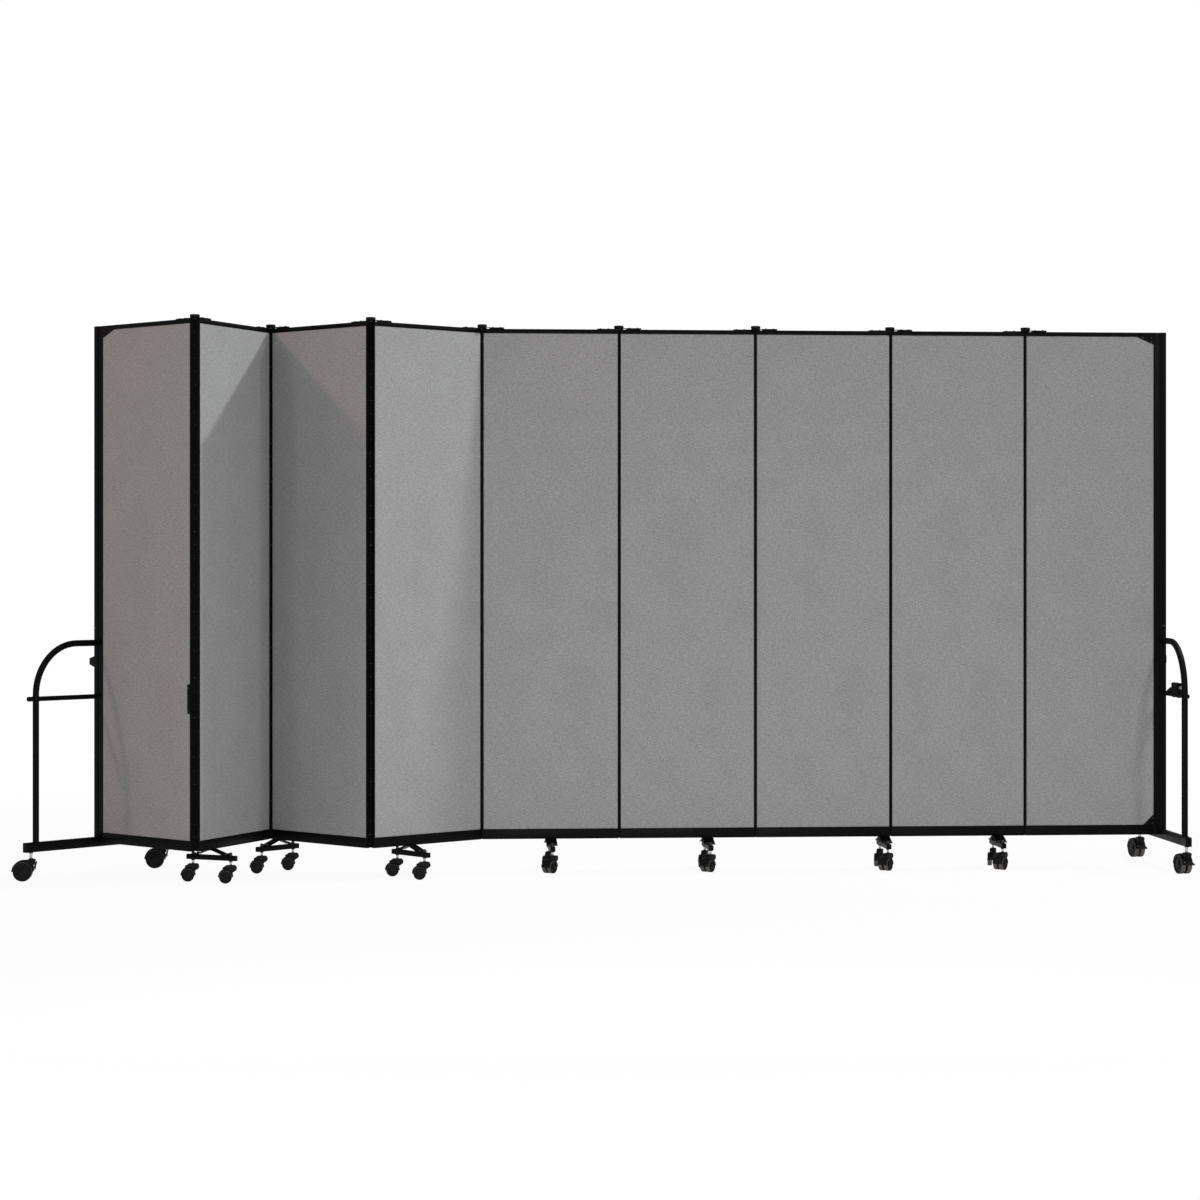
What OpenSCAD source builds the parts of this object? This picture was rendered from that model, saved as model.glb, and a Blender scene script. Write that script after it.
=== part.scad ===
// Accordion folding partition: nine fabric-covered panels on casters, an arched tube frame at each end.
// Millimetres, +Z up, and the origin is on the floor under the middle of the standing screen.
// Every panel is drawn in a frame of its own: x runs from its left hinge line to its right one,
// y points to its back, and z is the height above the floor.

/* [Pose] */
// Fold between panels 1 and 2, in degrees: 0 is straight and 180 is shut
fold_12 = 108.5; // [0:0.5:180]
// Fold between panels 2 and 3
fold_23 = 108.5; // [0:0.5:180]
// Fold between panels 3 and 4
fold_34 = 84.5; // [0:0.5:180]
// Fold between panels 4 and 5
fold_45 = 37.5; // [0:0.5:180]
// Direction that the casters of panels 1 to 4 trail in, counted from +X
trail_left = 180; // [0:5:355]
// Direction that the front casters of panels 5 to 8 trail in
trail_front = 230; // [0:5:355]
// Direction that the back casters of panels 5 to 8 trail in
trail_back = 255; // [0:5:355]
// Direction that the casters of panel 9 trail in
trail_right = 100; // [0:5:355]

/* [Panels] */
// Distance between two hinge lines
panel_pitch = 558.8; // [450:0.1:650]
// Thickness of the panel frames
panel_t = 19; // [16:0.1:40]
// Thickness of the fabric-covered boards
board_t = 17.6; // [14:0.1:38]
// Height of the top edge of the panels
panel_top = 2200; // [1800:1:2400]
// Height of the bottom rails' lower edge
rail_low = 130; // [110:1:200]
// Height of a bottom rail, edge to edge
bottom_rail_h = 40; // [20:1:60]
// Height of a top rail, edge to edge
top_rail_h = 17; // [10:1:40]
// Width of the steel strips beside the hinges
stile_w = 3; // [2:0.5:10]
// Width of the outer stiles of the two end panels
end_stile_w = 26; // [20:0.1:40]
// Distance from the inner hinge line to the outer edge of an end panel
end_reach = 564.8; // [450:0.1:650]
// Gap left between pieces that are welded or pressed together
seam = 0.2; // [0.1:0.05:0.5]

/* [Hinges] */
// Distance from a panel's middle plane to its hinge axis
axis_offset = 11.3; // [10:0.1:25]
// Free space between a panel's edge strip and the hinge line
hinge_gap = 2.5; // [2:0.1:6]
// Number of knuckles on one piano hinge, both leaves together
knuckles = 12; // [4:2:40]
// Radius of the knuckles
knuckle_r = 2.6; // [2:0.1:5]
// Radius of the hinge pins
pin_r = 1.3; // [1:0.1:2.5]
// Running clearance of pins, bolts, stems and axles, on the radius
fit = 0.05; // [0.02:0.01:0.1]
// Thickness of a hinge leaf
leaf_t = 1.2; // [1:0.1:2]
// Height of the lower end of the piano hinges
hinge_low = 144; // [120:1:300]
// Height of the upper end of the piano hinges
hinge_high = 2182; // [1500:1:2300]
// Length of the top hinge plates, from the hinge line
plate_l = 90; // [50:1:150]
// Thickness of a top hinge plate
plate_t = 2.5; // [2:0.1:5]
// Radius of a top hinge plate around its bolt
plate_r = 16; // [10:0.5:25]
// Radius of the pivot bolts
bolt_r = 3; // [2:0.5:6]
// Radius of the caps over the pivot bolts
cap_r = 20; // [12:0.5:25]
// Height of the top of the caps
cap_top = 2217; // [2212:0.5:2240]

/* [Outriggers] */
// Place of the first outrigger in the folded stack, from the end that the stack shares
nest_first = 28; // [20:1:60]
// Distance between two outriggers in the folded stack
nest_pitch = 84; // [70:1:90]
// Width and height of the cross bar
bar_w = 20; // [15:0.5:30]
// Length of the cross bar
bar_l = 220; // [180:1:300]
// Height of the underside of the cross bar
bar_low = 87; // [70:1:110]
// Distance from the panel's middle plane to a caster stem
stem_y = 85; // [60:1:110]
// Width of the strap between the cross bar and the panel
strap_w = 45; // [30:1:60]
// Thickness of the strap
strap_t = 4; // [2:0.5:6]

/* [End frames] */
// Width of the square upright
post_w = 25.4; // [20:0.1:40]
// Distance from the inner hinge line to the middle of the upright
post_x = 577.9; // [500:0.1:660]
// Height of the underside of the base tube
base_low = 113; // [100:1:130]
// Height of the base tube, edge to edge
base_h = 38; // [25:1:50]
// Length of the base tube, tip to tip
base_l = 732; // [600:1:900]
// Radius of the bent arch tube
arch_r = 12.7; // [10:0.1:16]
// Distance from the upright to the legs of the arch
leg_y = 312; // [250:1:360]
// Height of the arch tube where it meets the upright
arch_z = 930; // [700:1:1200]
// Radius of the bend, at the middle of the tube
bend_r = 200; // [80:1:280]
// Radius of the crossbar
crossbar_r = 9.5; // [6:0.1:13]
// Height of the middle of the crossbar
crossbar_z = 715; // [400:1:850]
// Length of the crossbar, tip to tip
crossbar_l = 704; // [600:1:900]
// Distance from the upright to the stems of the end casters
end_stem_y = 336; // [280:1:360]

/* [Casters] */
// Radius of the small twin wheels
wheel_r = 25; // [20:0.5:35]
// Width of one small wheel
wheel_w = 17.5; // [12:0.5:25]
// Trail of the small casters, from stem to axle
trail = 20; // [10:1:30]
// Radius of the small casters' stems
stem_r = 5; // [4:0.5:8]
// Radius of the large twin wheels under the end frames
end_wheel_r = 38; // [30:0.5:50]
// Width of one large wheel
end_wheel_w = 19.5; // [15:0.5:30]
// Trail of the large casters
end_trail = 32; // [20:1:40]
// Radius of the large casters' stems
end_stem_r = 6; // [5:0.5:9]
// Distance that the brake pedals' pins stand in front of the stems
pedal_x = -14.5; // [-20:0.5:-10]
// Height of the brake pedals' pins
pedal_z = 50; // [40:1:60]
// Angle that the pedals of the left end frame are lifted from the braked position
pedal_lift_left = 92; // [0:1:92]
// The same for the right end frame, whose brakes are on
pedal_lift_right = 0; // [0:1:92]

/* [Hidden] */
$fn = 48;
panels = 9;
mid = 5;
// The part's origin, seen from the left hinge line of the middle panel
origin = [486.99, -13.42];
nest_order = [3, 8, 6, 5, 4, 2, 7];
headings = [
    fold_45 - fold_34 + fold_23 - fold_12,
    fold_45 - fold_34 + fold_23,
    fold_45 - fold_34,
    fold_45,
    0, 0, 0, 0, 0
];

half_t = panel_t / 2;
board_low = rail_low + bottom_rail_h + seam;
board_high = panel_top - top_rail_h - seam;
knuckle_h = (hinge_high - hinge_low) / knuckles;
knuckle_gap = 0.2;
leaf_clear = 0.3;
lower_plate_z = panel_top + 0.5;
upper_plate_z = lower_plate_z + plate_t + 0.5;
cap_z = upper_plate_z + plate_t + 0.3;
cap_edge = 4;
plate_seat = 30;
bar_high = bar_low + bar_w;
base_high = base_low + base_h;
axle_r = 3;
wheel_side_gap = 0.5;
caster_web = 7;
pedal_pin_r = 2;
pedal_ear_y = 13.5;
overlap = 1;

black = [0.09, 0.09, 0.10];
cloth = [0.42, 0.41, 0.41];
plastic = [0.13, 0.13, 0.14];
tread = [0.30, 0.30, 0.27];

ends = ["left", "right"];
sides = ["front", "back"];

function heading(k) = headings[k - 1];
function turned(v, angle) = [v.x * cos(angle) - v.y * sin(angle), v.x * sin(angle) + v.y * cos(angle)];
// The side that the hinge between panels k and k + 1 lies on: 1 is the back and -1 is the front
function pin_side(k) = k % 2 == 1 ? 1 : -1;
// Where the left hinge line of panel k stands
function start(k) =
    k == mid ? -origin
    : k > mid ? start(k - 1) + turned([panel_pitch, pin_side(k - 1) * axis_offset], heading(k - 1))
              - turned([0, pin_side(k - 1) * axis_offset], heading(k))
    : start(k + 1) + turned([0, pin_side(k) * axis_offset], heading(k + 1))
              - turned([panel_pitch, pin_side(k) * axis_offset], heading(k));

// The left and right edges of a panel's frame, and of the board inside it
function frame_from(k) = k == 1 ? panel_pitch - end_reach : hinge_gap;
function frame_to(k) = k == panels ? end_reach : panel_pitch - hinge_gap;
function stile_width(k, right) = (right && k == panels) || (!right && k == 1) ? end_stile_w : stile_w;
function board_from(k) = frame_from(k) + stile_width(k, false) + seam;
function board_to(k) = frame_to(k) - stile_width(k, true) - seam;

function is_end(k) = k == 1 || k == panels;
function post_place(k) = k == 1 ? panel_pitch - post_x : post_x;
// Outriggers stand side by side in the folded stack, so each panel has its own place for one
function nest_place(k) = nest_first + nest_pitch * search(k, nest_order)[0];
function outrigger_place(k) = k % 2 == 1 ? nest_place(k) : panel_pitch - nest_place(k);
function trail_direction(k, side) =
    k < mid ? trail_left
    : k == panels ? trail_right
    : side == "front" ? trail_front
    : trail_back;

module in_panel(k) {
    translate([start(k).x, start(k).y, 0])
        rotate([0, 0, heading(k)])
            children();
}

// A block given by its limits
module slab(x, y, z) {
    translate([x[0], y[0], z[0]])
        cube([x[1] - x[0], y[1] - y[0], z[1] - z[0]]);
}

// A flat outline in the x-z plane, drawn out to a width along y
module upright_plate(width) {
    rotate([90, 0, 0])
        linear_extrude(width, center = true)
            children();
}

// Puts the hinge axis at the origin, with the panel towards -x and the pin's side towards +y
module at_hinge(k, right) {
    side = pin_side(right ? k : k - 1);
    translate([right ? panel_pitch : 0, side * axis_offset, 0])
        mirror([right ? 0 : 1, 0, 0])
            mirror([0, side < 0 ? 1 : 0, 0])
                children();
}

// One leaf of a piano hinge with every second knuckle
module hinge_leaf(first) {
    difference() {
        union() {
            slab([-hinge_gap, leaf_t - hinge_gap],
                 [-axis_offset - half_t, -knuckle_r - leaf_clear], [hinge_low, hinge_high]);
            for (i = [first : 2 : knuckles - 1]) {
                low = hinge_low + i * knuckle_h + knuckle_gap;
                high = low + knuckle_h - 2 * knuckle_gap;
                slab([-hinge_gap, leaf_t - hinge_gap], [-knuckle_r - overlap, -overlap], [low, high]);
                translate([0, 0, low])
                    cylinder(r = knuckle_r, h = high - low);
            }
        }
        translate([0, 0, hinge_low - overlap])
            cylinder(r = pin_r + fit, h = hinge_high - hinge_low + 2 * overlap);
    }
}

module hinge_pin() {
    translate([0, 0, hinge_low - overlap])
        cylinder(r = pin_r, h = hinge_high - hinge_low + 2 * overlap);
}

// The outline of a top hinge plate, round at the bolt and straight over the rail
module plate_outline() {
    circle(r = plate_r);
    translate([-plate_l, -axis_offset - half_t])
        square([plate_l, panel_t]);
}

// A top hinge plate and the pad that lifts it off the rail
module hinge_plate(z) {
    translate([0, 0, z])
        linear_extrude(plate_t)
            plate_outline();
    slab([-plate_l, -plate_seat], [-axis_offset - half_t, half_t - axis_offset],
         [panel_top + seam / 2, z + plate_t]);
}

module lower_plate() {
    hinge_plate(lower_plate_z);
    translate([0, 0, lower_plate_z])
        cylinder(r = bolt_r, h = cap_z - lower_plate_z + overlap);
    translate([0, 0, cap_z])
        cylinder(r = cap_r, h = cap_top - cap_edge - cap_z);
    translate([0, 0, cap_top - cap_edge])
        cylinder(r1 = cap_r, r2 = cap_r - cap_edge, h = cap_edge);
}

module upper_plate() {
    difference() {
        hinge_plate(upper_plate_z);
        translate([0, 0, upper_plate_z - overlap])
            cylinder(r = bolt_r + fit, h = plate_t + 2 * overlap);
    }
}

// A stiffening triangle on both faces of a panel corner
module gusset(length, height) {
    for (face = [-1, 1])
        translate([0, face * (half_t + 1), 0])
            upright_plate(1.6)
                polygon([[0, 0], [length, 0], [0, height]]);
}

// Cross bar under a panel, with the strap that carries the panel on it
module outrigger() {
    strap_peak = 12;
    strap_foot = 76;
    foot_in = 63;
    difference() {
        slab([-bar_w / 2, bar_w / 2], [-bar_l / 2, bar_l / 2], [bar_low, bar_high]);
        for (side = [-1, 1])
            translate([0, side * stem_y, bar_low - overlap])
                cylinder(r = stem_r + fit, h = bar_w + 2 * overlap);
    }
    rise = rail_low - seam;
    foot = bar_high + seam;
    rotate([0, 0, 90])
        upright_plate(strap_w)
            polygon([
                [-strap_foot, foot], [-foot_in, foot], [-strap_peak + 1, rise - strap_t],
                [strap_peak - 1, rise - strap_t], [foot_in, foot], [strap_foot, foot],
                [strap_foot, foot + strap_t], [foot_in + 1, foot + strap_t], [strap_peak, rise],
                [-strap_peak, rise], [-foot_in - 1, foot + strap_t], [-strap_foot, foot + strap_t]
            ]);
}

// Pull plate on the front edge of the first panel
module pull_plate() {
    low = 664;
    high = 780;
    cut = 5;
    width = 16;
    translate([panel_pitch - hinge_gap - width, -half_t - 1.2, 0])
        upright_plate(2)
            polygon([
                [0, low + cut], [cut, low], [width, low], [width, high], [cut, high], [0, high - cut]
            ]);
}

module board(k) {
    color(cloth)
        in_panel(k)
            slab([board_from(k), board_to(k)], [-board_t / 2, board_t / 2], [board_low, board_high]);
}

// Rails, stiles and hinge parts of one panel, and its outrigger where it has one
module frame(k) {
    color(black) in_panel(k) {
        for (z = [[rail_low, rail_low + bottom_rail_h], [panel_top - top_rail_h, panel_top]])
            slab([board_from(k), board_to(k)], [-half_t, half_t], z);
        slab([frame_from(k), frame_from(k) + stile_width(k, false)], [-half_t, half_t], [rail_low, panel_top]);
        slab([frame_to(k) - stile_width(k, true), frame_to(k)], [-half_t, half_t], [rail_low, panel_top]);
        if (k < panels)
            at_hinge(k, true) {
                hinge_leaf(0);
                hinge_pin();
                lower_plate();
            }
        if (k > 1)
            at_hinge(k, false) {
                hinge_leaf(1);
                upper_plate();
            }
        if (is_end(k))
            translate([k == 1 ? board_from(k) : board_to(k), 0, panel_top - top_rail_h])
                mirror([k == 1 ? 0 : 1, 0, 0])
                    mirror([0, 0, 1])
                        gusset(75, 33);
        if (k == panels)
            translate([board_to(k), 0, rail_low + bottom_rail_h])
                mirror([1, 0, 0])
                    gusset(45, 45);
        if (k == 1)
            pull_plate();
        if (!is_end(k))
            translate([outrigger_place(k), 0, 0])
                outrigger();
    }
}

// One side of the arch: leg, bend and the straight run to the upright
module arch_side() {
    translate([0, leg_y, base_high - overlap])
        cylinder(r = arch_r, h = arch_z - bend_r - base_high + overlap);
    translate([0, leg_y - bend_r, arch_z - bend_r])
        rotate([90, 0, 90])
            rotate_extrude(angle = 90)
                translate([bend_r, 0])
                    circle(r = arch_r);
    translate([0, 0, arch_z])
        rotate([-90, 0, 0])
            cylinder(r = arch_r, h = leg_y - bend_r);
}

// Spring latch on the crossbar of the right-hand frame
module latch() {
    body_y = [-242, -156];
    slab([-10, 10], body_y, [crossbar_z + 6, crossbar_z + 49]);
    rotate([0, 0, 90])
        upright_plate(12)
            polygon([
                [-158, 724], [-82, 724], [-80, 729], [-100, 735], [-125, 743], [-145, 743], [-158, 738]
            ]);
}

// Upright, base tube and arched tube at the free end of an end panel
module end_frame(k) {
    outward = k == 1 ? -1 : 1;
    half_w = post_w / 2;
    bumper_out = k == 1 ? 35 : 2;
    bumper_z = 854;
    screw_z = 992;
    color(black) in_panel(k) translate([post_place(k), 0, 0]) {
        difference() {
            union() {
                slab([-half_w, half_w], [-half_w, half_w], [base_high - overlap, panel_top]);
                slab([-half_w, half_w], [-base_l / 2, base_l / 2], [base_low, base_high]);
            }
            for (side = [-1, 1])
                translate([0, side * end_stem_y, base_low - overlap])
                    cylinder(r = end_stem_r + fit, h = base_h - 8);
        }
        for (turn = [0, 180])
            rotate([0, 0, turn])
                arch_side();
        translate([0, 0, crossbar_z])
            rotate([90, 0, 0])
                cylinder(r = crossbar_r, h = crossbar_l, center = true);
        mirror([outward < 0 ? 1 : 0, 0, 0])
            upright_plate(18)
                polygon([
                    [half_w - overlap, bumper_z - 24], [half_w + bumper_out, bumper_z - 13],
                    [half_w + bumper_out, bumper_z + 13], [half_w - overlap, bumper_z + 24]
                ]);
        translate([0, overlap - half_w, screw_z])
            rotate([90, 0, 0])
                cylinder(r = 5, h = 2 + overlap);
        if (k == panels)
            latch();
    }
}

// Half a disc standing on the axle line
module half_disc(r) {
    intersection() {
        circle(r = r);
        translate([-r, 0])
            square([2 * r, r]);
    }
}

// Hood, stem and axle of a twin-wheel caster; the stem is at the origin and the wheels trail along +x
module caster(r, width, reach, hood_t, boss_r, boss_top, stem, stem_from, stem_to, eared) {
    half_width = caster_web / 2 + wheel_side_gap + width;
    hood_r = r + 1.3 + hood_t;
    difference() {
        union() {
            translate([reach, 0, r])
                upright_plate(2 * half_width)
                    half_disc(hood_r);
            translate([0, 0, r + 8])
                cylinder(r = boss_r, h = boss_top - r - 8);
            if (eared)
                for (side = [-1, 1])
                    translate([0, side * pedal_ear_y, 0])
                        pedal_ear();
        }
        for (side = [-1, 1])
            translate([reach, side * (caster_web / 2 + half_width), r])
                rotate([90, 0, 0])
                    cylinder(r = r + 1.3, h = 2 * half_width, center = true);
    }
    translate([reach, 0, r])
        upright_plate(caster_web)
            circle(r = r / 3);
    translate([reach, 0, r])
        rotate([90, 0, 0])
            cylinder(r = axle_r, h = 2 * half_width + 2, center = true);
    for (side = [-1, 1])
        translate([reach, side * (half_width + 1), r])
            rotate([90, 0, 0])
                cylinder(r = axle_r + 2.5, h = 1.2, center = true);
    translate([0, 0, boss_top - overlap])
        cylinder(r = stem, h = stem_to - boss_top + overlap);
    translate([0, 0, stem_from - 4])
        cylinder(r = stem + 3, h = 3.7);
    if (eared)
        pedal_pin();
}

// One wheel, lying on its inner face
module wheel(r, width) {
    edge = 1.5;
    rim = 5;
    hub = 9;
    dish = 3;
    rotate_extrude()
        polygon([
            [axle_r + fit, 0], [r - edge, 0], [r, edge], [r, width - edge], [r - edge, width],
            [r - rim, width], [r - rim - 1, width - dish], [hub, width - dish], [hub - 1, width],
            [axle_r + fit, width]
        ]);
}

module wheel_pair(r, width, reach) {
    for (side = [-1, 1])
        translate([reach, side * (caster_web / 2 + wheel_side_gap), r])
            rotate([-90 * side, 0, 0])
                wheel(r, width);
}

// One of the two ears that hold a brake pedal's pin in front of the hood
module pedal_ear() {
    upright_plate(3) {
        translate([pedal_x, pedal_z])
            circle(r = 4.5);
        polygon([[pedal_x, pedal_z - 4.5], [8, pedal_z - 6], [8, pedal_z + 14], [pedal_x - 1, pedal_z + 4.4]]);
    }
}

module pedal_pin() {
    translate([pedal_x, 0, pedal_z])
        rotate([90, 0, 0])
            cylinder(r = pedal_pin_r, h = 2 * pedal_ear_y, center = true);
}

// Foot pedal, drawn on its caster
module pedal() {
    difference() {
        union() {
            translate([pedal_x, 0, pedal_z])
                rotate([90, 0, 0])
                    cylinder(r = 4, h = 22, center = true);
            upright_plate(22)
                polygon([[pedal_x, 54], [-36, 47], [-36, 43], [pedal_x, 46]]);
            upright_plate(32)
                polygon([[-24, 51], [-40, 46], [-43, 41], [-40, 40], [-24, 44.5]]);
        }
        translate([pedal_x, 0, pedal_z])
            rotate([90, 0, 0])
                cylinder(r = pedal_pin_r + fit, h = 40, center = true);
    }
}

// Puts the stem of one of a panel's casters at the origin, with the wheels trailing along +x
module at_stem(k, side, x, y) {
    in_panel(k)
        translate([x, side == "back" ? y : -y, 0])
            rotate([0, 0, trail_direction(k, side) - heading(k)])
                children();
}

module small_caster(k, side) {
    color(plastic) at_stem(k, side, outrigger_place(k), stem_y) {
        caster(wheel_r, wheel_w, trail, 3, 8, 56, stem_r, bar_low, bar_high + 5, false);
        translate([0, 0, bar_high + 0.3])
            cylinder(r = stem_r + 2.5, h = 4.5);
    }
}

module small_wheels(k, side) {
    color(tread) at_stem(k, side, outrigger_place(k), stem_y)
        wheel_pair(wheel_r, wheel_w, trail);
}

module end_caster(k, side) {
    color(plastic) at_stem(k, side, post_place(k), end_stem_y)
        caster(end_wheel_r, end_wheel_w, end_trail, 3.5, 10, 88, end_stem_r, base_low, base_high - 11, true);
}

module end_wheels(k, side) {
    color(tread) at_stem(k, side, post_place(k), end_stem_y)
        wheel_pair(end_wheel_r, end_wheel_w, end_trail);
}

module brake(k, side) {
    lift = k == panels ? pedal_lift_right : pedal_lift_left;
    color(plastic) at_stem(k, side, post_place(k), end_stem_y)
        translate([pedal_x, 0, pedal_z])
            rotate([0, lift, 0])
                translate([-pedal_x, 0, -pedal_z])
                    pedal();
}

function end_panel(end) = end == "left" ? 1 : panels;

for (k = [1 : panels]) {
    board(k);
    frame(k);
}
for (k = [2 : panels - 1], side = sides) {
    small_caster(k, side);
    small_wheels(k, side);
}
for (end = ends) {
    end_frame(end_panel(end));
}
for (end = ends, side = sides) {
    end_caster(end_panel(end), side);
    end_wheels(end_panel(end), side);
    brake(end_panel(end), side);
}
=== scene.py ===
# %% [markdown]
# # A folding screen with nine cloth panels
# Nine tall panels stand on small casters and are joined by piano hinges. The first four stand
# folded in a zigzag and the other five are pulled out straight. Every panel is a thin black
# frame round a board that has grey cloth on both faces, and each end of the screen has an
# upright with a bent tube that keeps it from tipping.
#
# The real sizes and the joints come from a model that was drawn before. It is loaded here as a
# frame in metres, and every piece of this file is put where that model says.

# %% Load the measured model
import math

import bmesh
import bpy
from mathutils import Matrix, Vector, noise


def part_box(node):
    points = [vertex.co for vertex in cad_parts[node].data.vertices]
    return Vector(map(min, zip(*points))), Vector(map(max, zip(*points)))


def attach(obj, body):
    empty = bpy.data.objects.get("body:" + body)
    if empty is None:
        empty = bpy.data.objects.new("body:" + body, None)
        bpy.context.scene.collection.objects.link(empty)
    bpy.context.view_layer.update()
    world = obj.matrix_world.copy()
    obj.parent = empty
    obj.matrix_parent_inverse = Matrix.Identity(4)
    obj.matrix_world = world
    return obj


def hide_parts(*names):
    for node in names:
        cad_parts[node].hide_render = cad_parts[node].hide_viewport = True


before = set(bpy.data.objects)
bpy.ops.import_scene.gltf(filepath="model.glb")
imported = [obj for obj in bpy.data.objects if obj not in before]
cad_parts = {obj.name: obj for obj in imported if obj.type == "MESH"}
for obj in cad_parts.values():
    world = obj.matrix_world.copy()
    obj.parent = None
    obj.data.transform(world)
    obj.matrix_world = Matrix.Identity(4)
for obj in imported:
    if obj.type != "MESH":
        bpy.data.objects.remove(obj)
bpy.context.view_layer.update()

# %% [markdown]
# ## Where the panels stand
# A panel is easiest to make lying along x, with its left hinge line at the origin. It is then
# turned to its heading and moved to where it stands. The hinge pins lie in turn behind and in
# front of the panels, so that the screen folds like a paper fan. Going along the chain from
# the middle panel gives every panel's place, as it does for the real screen on a floor.

# %% Place of every panel
panels = 9
middle = 5
pitch = 0.5588
pin_out = 0.0113
middle_hinge = Vector((-0.48699, 0.01342))
fold_after = {1: 108.5, 2: 108.5, 3: 84.5, 4: 37.5}


def pin_side(k):
    """The side of the pin between panels k and k + 1: 1 is the back and -1 the front."""
    return 1 if k % 2 else -1


def turned(x, y, degrees):
    return Vector((x, y)) @ Matrix.Rotation(-math.radians(degrees), 2)


heading = dict.fromkeys(range(middle, panels + 1), 0.0)
left_line = {middle: middle_hinge}
for k in range(middle + 1, panels + 1):
    out = pin_side(k - 1) * pin_out
    left_line[k] = left_line[k - 1] + turned(pitch, out, heading[k - 1]) - turned(0, out, heading[k])
for k in range(middle - 1, 0, -1):
    heading[k] = heading[k + 1] - pin_side(k) * fold_after[k]
    out = pin_side(k) * pin_out
    left_line[k] = left_line[k + 1] + turned(0, out, heading[k + 1]) - turned(pitch, out, heading[k])

stand = {
    k: Matrix.Translation((*left_line[k], 0)) @ Matrix.Rotation(math.radians(heading[k]), 4, "Z")
    for k in range(1, panels + 1)
}
for k in (1, 4, 9):
    low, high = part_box(f"board_{k}")
    middle_of_board = stand[k].inverted() @ ((low + high) / 2)
    print("board", k, "lies", round(abs(middle_of_board.y) * 1000, 2), "mm off its panel's line")

# %% [markdown]
# ## Camera
# The photograph is a long, level shot from a little left of the folded end. Its picture was
# moved sideways and down, as with a view camera, so all the uprights stay upright. The lens
# and place were found by setting known corners of the model on the photograph.

# %% Camera
picture = 1200
middle_line = (535.0, 560.2)
focal = 2931.5
camera_data = bpy.data.cameras.new("view camera")
camera_data.sensor_width = 36
camera_data.lens = focal / picture * camera_data.sensor_width
camera_data.shift_x = (picture / 2 - middle_line[0]) / picture
camera_data.shift_y = (middle_line[1] - picture / 2) / picture
camera = bpy.data.objects.new("view camera", camera_data)
bpy.context.scene.collection.objects.link(camera)
camera.location = (-1.1508, -11.8645, 1.2615)
camera.rotation_euler = (math.radians(90), 0, -0.0739)
bpy.context.scene.camera = camera
print("lens", round(camera_data.lens, 1), "mm, shift", round(camera_data.shift_x, 3))

# %% [markdown]
# ## Shader sums
# A finish is mostly arithmetic on patterns. This small class wraps a socket, so that a sum
# such as `0.3 + 0.1 * weave` adds its own Math nodes, and any other node is one call.

# %% Shader sums
class Wire:
    """A socket of a shader tree that can be used in sums."""

    def __init__(self, tree, socket=None):
        self.tree = tree
        self.socket = socket

    def node(self, kind, settings=None, sockets=None, out=0):
        made = self.tree.nodes.new("ShaderNode" + kind)
        for name, value in (settings or {}).items():
            setattr(made, name, value)
        for name, value in (sockets or {}).items():
            if isinstance(value, Wire):
                self.tree.links.new(value.socket, made.inputs[name])
            else:
                made.inputs[name].default_value = value
        return Wire(self.tree, made.outputs[out])

    def output(self, name):
        """Another output of the same node."""
        return Wire(self.tree, self.socket.node.outputs[name])

    def math(self, operation, *values):
        return self.node("Math", {"operation": operation}, dict(enumerate(values)))

    def __add__(self, other):
        return self.math("ADD", self, other)

    def __mul__(self, other):
        return self.math("MULTIPLY", self, other)

    __radd__ = __add__
    __rmul__ = __mul__


def colour_mix(share, first, second):
    """Goes from the first colour to the second as share goes from 0 to 1."""
    return share.node("Mix", {"data_type": "RGBA"}, {0: share, 6: first, 7: second}, out=2)


def grey(value, warm=0.0):
    return (value * (1 + warm), value, value * (1 - warm), 1.0)


def finish(name, pattern, **constants):
    """A material. The pattern gives what changes over the surface, and the constants stay."""
    material = bpy.data.materials.new(name)
    material.use_nodes = True
    shader = material.node_tree.nodes["Principled BSDF"]
    for socket, value in constants.items():
        shader.inputs[socket.replace("_", " ")].default_value = value
    for socket, wire in pattern(Wire(material.node_tree)).items():
        material.node_tree.links.new(wire.socket, shader.inputs[socket])
    print("finish", name, "has", len(material.node_tree.nodes), "nodes")
    return material


def cloud(where, size, detail=2.0, rough=0.5):
    """Soft noise whose blots are about size metres across."""
    return where.node("TexNoise", None, {
        "Vector": where, "Scale": 1 / size, "Detail": detail, "Roughness": rough})


def relief(height, depth, strength):
    """Bumps that are depth metres high."""
    return height.node("Bump", None, {"Height": height, "Distance": depth, "Strength": strength})


def clipped(value, low, high, low_to=0.0, high_to=1.0, blend="LINEAR"):
    """Stretches the part of a pattern between low and high, and cuts off the rest."""
    return value.node("MapRange", {"clamp": True, "interpolation_type": blend}, {
        "Value": value, "From Min": low, "From Max": high, "To Min": low_to, "To Max": high_to})


# %% [markdown]
# ## Cloth finish
# The panels are covered with a matt heather cloth: the yarns are spun from lighter and darker
# grey fibres, so the colour changes a little from one short length of yarn to the next. The
# pattern follows the cloth's own map, which is flat like the cut piece. Streaks along the
# width are the weft and streaks along the height are the warp. Short fibres, the thick places
# in the yarn that a weaver calls slubs, and a slow cloud for the uneven dye are mixed in. The
# map's range is stretched over the cloth, because a map holds only 0 to 1 and the cloth is
# taller than a metre. A small relief gives the plain weave.

# %% Cloth finish
map_side = 2.5
yarn = 0.0011


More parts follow.
